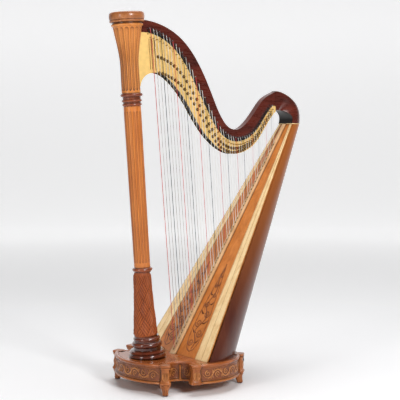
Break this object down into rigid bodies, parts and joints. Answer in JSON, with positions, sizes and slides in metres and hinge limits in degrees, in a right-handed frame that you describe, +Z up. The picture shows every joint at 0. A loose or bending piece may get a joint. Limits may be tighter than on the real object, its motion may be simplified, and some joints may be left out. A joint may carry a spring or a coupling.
{
  "type": "concert pedal harp",
  "caption": "Concert pedal harp with a fluted column, curved neck with brass action plates, tapering soundbox, carved base, strings, turning discs and hinged pedals.",
  "frame": {"origin": "on the floor, under the middle of the harp's overall length and width", "axes": "+Z up, +X from the column to the shoulder in the plane of the strings, -Y the side of the neck that carries the strings and discs"},
  "size_m": [1.1767, 0.6796, 1.8733],
  "materials": {
    "base_top": "satin lacquer",
    "base_case": "satin lacquer",
    "base_floor": "satin lacquer",
    "base_consoles": "satin lacquer",
    "base_feet": "satin lacquer",
    "pedal_axle": "ground",
    "pedal_slot_plate": "satin",
    "pedal_springs": "drawn",
    "column_foot": "gloss lacquer",
    "column_pedestal": "gloss lacquer",
    "column_shaft": "satin lacquer",
    "column_capital": "satin lacquer",
    "capital_cap": "gloss lacquer",
    "neck": "gloss lacquer",
    "knee_block": "gloss lacquer",
    "shoulder_trim": "satin lacquer",
    "left_action_plate": "satin",
    "right_action_plate": "satin",
    "plate_screws": "polished",
    "tuning_pins": "polished",
    "bridge_pins": "polished",
    "fixed_discs": "polished",
    "soundbox_shell": "gloss lacquer",
    "soundboard": "satin lacquer",
    "string_rib": "satin lacquer",
    "edge_strips": "satin lacquer",
    "soundbox_braces": "cast",
    "string_grommets": "polished",
    "strings_red": "dyed gut",
    "strings_black": "dyed gut",
    "strings_wire": "wound wire",
    "strings_gut": "clear gut",
    "pedal": "polished, dark rubber step",
    "pedal_rod": "drawn",
    "disc": "polished"
  },
  "bodies": {
    "harp_frame": {"base_top": "base_top", "base_case": "base_case", "base_floor": "base_floor", "base_consoles": "base_consoles", "base_feet": "base_feet", "pedal_axle": "pedal_axle", "pedal_slot_plate": "pedal_slot_plate", "pedal_springs": "pedal_springs", "column_foot": "column_foot", "column_pedestal": "column_pedestal", "column_shaft": "column_shaft", "column_capital": "column_capital", "capital_cap": "capital_cap", "neck": "neck", "knee_block": "knee_block", "shoulder_trim": "shoulder_trim", "left_action_plate": "left_action_plate", "right_action_plate": "right_action_plate", "plate_screws": "plate_screws", "tuning_pins": "tuning_pins", "bridge_pins": "bridge_pins", "fixed_discs": "fixed_discs", "soundbox_shell": "soundbox_shell", "soundboard": "soundboard", "string_rib": "string_rib", "edge_strips": "edge_strips", "soundbox_braces": "soundbox_braces", "string_grommets": "string_grommets", "strings_red": "strings_red", "strings_black": "strings_black", "strings_wire": "strings_wire", "strings_gut": "strings_gut"},
    "pedal_d": {"pedal_d": "pedal"},
    "rod_d": {"pedal_rod_d": "pedal_rod"},
    "pedal_c": {"pedal_c": "pedal"},
    "rod_c": {"pedal_rod_c": "pedal_rod"},
    "pedal_b": {"pedal_b": "pedal"},
    "rod_b": {"pedal_rod_b": "pedal_rod"},
    "pedal_e": {"pedal_e": "pedal"},
    "rod_e": {"pedal_rod_e": "pedal_rod"},
    "pedal_f": {"pedal_f": "pedal"},
    "rod_f": {"pedal_rod_f": "pedal_rod"},
    "pedal_g": {"pedal_g": "pedal"},
    "rod_g": {"pedal_rod_g": "pedal_rod"},
    "pedal_a": {"pedal_a": "pedal"},
    "rod_a": {"pedal_rod_a": "pedal_rod"},
    "natural_disc_c": {"natural_disc_c": "disc"},
    "sharp_disc_c": {"sharp_disc_c": "disc"},
    "natural_disc_d": {"natural_disc_d": "disc"},
    "sharp_disc_d": {"sharp_disc_d": "disc"},
    "natural_disc_e": {"natural_disc_e": "disc"},
    "sharp_disc_e": {"sharp_disc_e": "disc"},
    "natural_disc_f": {"natural_disc_f": "disc"},
    "sharp_disc_f": {"sharp_disc_f": "disc"},
    "natural_disc_g": {"natural_disc_g": "disc"},
    "sharp_disc_g": {"sharp_disc_g": "disc"},
    "natural_disc_a": {"natural_disc_a": "disc"},
    "sharp_disc_a": {"sharp_disc_a": "disc"},
    "natural_disc_b": {"natural_disc_b": "disc"},
    "sharp_disc_b": {"sharp_disc_b": "disc"}
  },
  "joints": [
    {"name": "pedal_d_swing", "type": "hinge", "parent": "harp_frame", "child": "pedal_d", "pos_m": [-0.29, 0, 0.095], "axis": [0, 1, 0], "range_deg": [0, 5.5]},
    {"name": "rod_d_lift", "type": "slide", "parent": "harp_frame", "child": "rod_d", "axis": [-0.0687, 0, 0.9976], "range_m": [0, 0.00843]},
    {"name": "pedal_c_swing", "type": "hinge", "parent": "harp_frame", "child": "pedal_c", "pos_m": [-0.29, 0, 0.095], "axis": [0, 1, 0], "range_deg": [0, 5.5]},
    {"name": "rod_c_lift", "type": "slide", "parent": "harp_frame", "child": "rod_c", "axis": [-0.0687, 0, 0.9976], "range_m": [0, 0.00843]},
    {"name": "pedal_b_swing", "type": "hinge", "parent": "harp_frame", "child": "pedal_b", "pos_m": [-0.29, 0, 0.095], "axis": [0, 1, 0], "range_deg": [0, 5.5]},
    {"name": "rod_b_lift", "type": "slide", "parent": "harp_frame", "child": "rod_b", "axis": [-0.0687, 0, 0.9976], "range_m": [0, 0.00843]},
    {"name": "pedal_e_swing", "type": "hinge", "parent": "harp_frame", "child": "pedal_e", "pos_m": [-0.29, 0, 0.095], "axis": [0, 1, 0], "range_deg": [0, 5.5]},
    {"name": "rod_e_lift", "type": "slide", "parent": "harp_frame", "child": "rod_e", "axis": [-0.0687, 0, 0.9976], "range_m": [0, 0.00843]},
    {"name": "pedal_f_swing", "type": "hinge", "parent": "harp_frame", "child": "pedal_f", "pos_m": [-0.29, 0, 0.095], "axis": [0, 1, 0], "range_deg": [0, 5.5]},
    {"name": "rod_f_lift", "type": "slide", "parent": "harp_frame", "child": "rod_f", "axis": [-0.0687, 0, 0.9976], "range_m": [0, 0.00843]},
    {"name": "pedal_g_swing", "type": "hinge", "parent": "harp_frame", "child": "pedal_g", "pos_m": [-0.29, 0, 0.095], "axis": [0, 1, 0], "range_deg": [0, 5.5]},
    {"name": "rod_g_lift", "type": "slide", "parent": "harp_frame", "child": "rod_g", "axis": [-0.0687, 0, 0.9976], "range_m": [0, 0.00843]},
    {"name": "pedal_a_swing", "type": "hinge", "parent": "harp_frame", "child": "pedal_a", "pos_m": [-0.29, 0, 0.095], "axis": [0, 1, 0], "range_deg": [0, 5.5]},
    {"name": "rod_a_lift", "type": "slide", "parent": "harp_frame", "child": "rod_a", "axis": [-0.0687, 0, 0.9976], "range_m": [0, 0.00843]},
    {"name": "natural_disc_c_turn", "type": "hinge", "parent": "harp_frame", "child": "natural_disc_c", "pos_m": [0.04329, 0, 1.2487], "axis": [0, 1, 0], "range_deg": [0, 45]},
    {"name": "sharp_disc_c_turn", "type": "hinge", "parent": "harp_frame", "child": "sharp_disc_c", "pos_m": [0.04615, 0, 1.21736], "axis": [0, 1, 0], "range_deg": [0, 45]},
    {"name": "natural_disc_d_turn", "type": "hinge", "parent": "harp_frame", "child": "natural_disc_d", "pos_m": [0.06102, 0, 1.2324], "axis": [0, 1, 0], "range_deg": [0, 45]},
    {"name": "sharp_disc_d_turn", "type": "hinge", "parent": "harp_frame", "child": "sharp_disc_d", "pos_m": [0.06367, 0, 1.20326], "axis": [0, 1, 0], "range_deg": [0, 45]},
    {"name": "natural_disc_e_turn", "type": "hinge", "parent": "harp_frame", "child": "natural_disc_e", "pos_m": [0.07825, 0, 1.22017], "axis": [0, 1, 0], "range_deg": [0, 45]},
    {"name": "sharp_disc_e_turn", "type": "hinge", "parent": "harp_frame", "child": "sharp_disc_e", "pos_m": [0.08073, 0, 1.19299], "axis": [0, 1, 0], "range_deg": [0, 45]},
    {"name": "natural_disc_f_turn", "type": "hinge", "parent": "harp_frame", "child": "natural_disc_f", "pos_m": [0.09509, 0, 1.21108], "axis": [0, 1, 0], "range_deg": [0, 45]},
    {"name": "sharp_disc_f_turn", "type": "hinge", "parent": "harp_frame", "child": "sharp_disc_f", "pos_m": [0.0974, 0, 1.18568], "axis": [0, 1, 0], "range_deg": [0, 45]},
    {"name": "natural_disc_g_turn", "type": "hinge", "parent": "harp_frame", "child": "natural_disc_g", "pos_m": [0.11157, 0, 1.20464], "axis": [0, 1, 0], "range_deg": [0, 45]},
    {"name": "sharp_disc_g_turn", "type": "hinge", "parent": "harp_frame", "child": "sharp_disc_g", "pos_m": [0.11373, 0, 1.18086], "axis": [0, 1, 0], "range_deg": [0, 45]},
    {"name": "natural_disc_a_turn", "type": "hinge", "parent": "harp_frame", "child": "natural_disc_a", "pos_m": [0.12772, 0, 1.20053], "axis": [0, 1, 0], "range_deg": [0, 45]},
    {"name": "sharp_disc_a_turn", "type": "hinge", "parent": "harp_frame", "child": "sharp_disc_a", "pos_m": [0.12975, 0, 1.17824], "axis": [0, 1, 0], "range_deg": [0, 45]},
    {"name": "natural_disc_b_turn", "type": "hinge", "parent": "harp_frame", "child": "natural_disc_b", "pos_m": [0.14356, 0, 1.19857], "axis": [0, 1, 0], "range_deg": [0, 45]},
    {"name": "sharp_disc_b_turn", "type": "hinge", "parent": "harp_frame", "child": "sharp_disc_b", "pos_m": [0.14546, 0, 1.17763], "axis": [0, 1, 0], "range_deg": [0, 45]}
  ],
  "couplings": [
    {"joint": "rod_d_lift", "follows": "pedal_d_swing", "m_per_rad": 0.087731},
    {"joint": "rod_c_lift", "follows": "pedal_c_swing", "m_per_rad": 0.087731},
    {"joint": "rod_b_lift", "follows": "pedal_b_swing", "m_per_rad": 0.087731},
    {"joint": "rod_e_lift", "follows": "pedal_e_swing", "m_per_rad": 0.087731},
    {"joint": "rod_f_lift", "follows": "pedal_f_swing", "m_per_rad": 0.087731},
    {"joint": "rod_g_lift", "follows": "pedal_g_swing", "m_per_rad": 0.087731},
    {"joint": "rod_a_lift", "follows": "pedal_a_swing", "m_per_rad": 0.087731},
    {"joint": "natural_disc_c_turn", "follows": "pedal_c_swing", "ratio": 8.1777},
    {"joint": "sharp_disc_c_turn", "follows": "pedal_c_swing", "ratio": 8.1777},
    {"joint": "natural_disc_d_turn", "follows": "pedal_d_swing", "ratio": 8.1777},
    {"joint": "sharp_disc_d_turn", "follows": "pedal_d_swing", "ratio": 8.1777},
    {"joint": "natural_disc_e_turn", "follows": "pedal_e_swing", "ratio": 8.1777},
    {"joint": "sharp_disc_e_turn", "follows": "pedal_e_swing", "ratio": 8.1777},
    {"joint": "natural_disc_f_turn", "follows": "pedal_f_swing", "ratio": 8.1777},
    {"joint": "sharp_disc_f_turn", "follows": "pedal_f_swing", "ratio": 8.1777},
    {"joint": "natural_disc_g_turn", "follows": "pedal_g_swing", "ratio": 8.1777},
    {"joint": "sharp_disc_g_turn", "follows": "pedal_g_swing", "ratio": 8.1777},
    {"joint": "natural_disc_a_turn", "follows": "pedal_a_swing", "ratio": 8.1777},
    {"joint": "sharp_disc_a_turn", "follows": "pedal_a_swing", "ratio": 8.1777},
    {"joint": "natural_disc_b_turn", "follows": "pedal_b_swing", "ratio": 8.1777},
    {"joint": "sharp_disc_b_turn", "follows": "pedal_b_swing", "ratio": 8.1777}
  ]
}
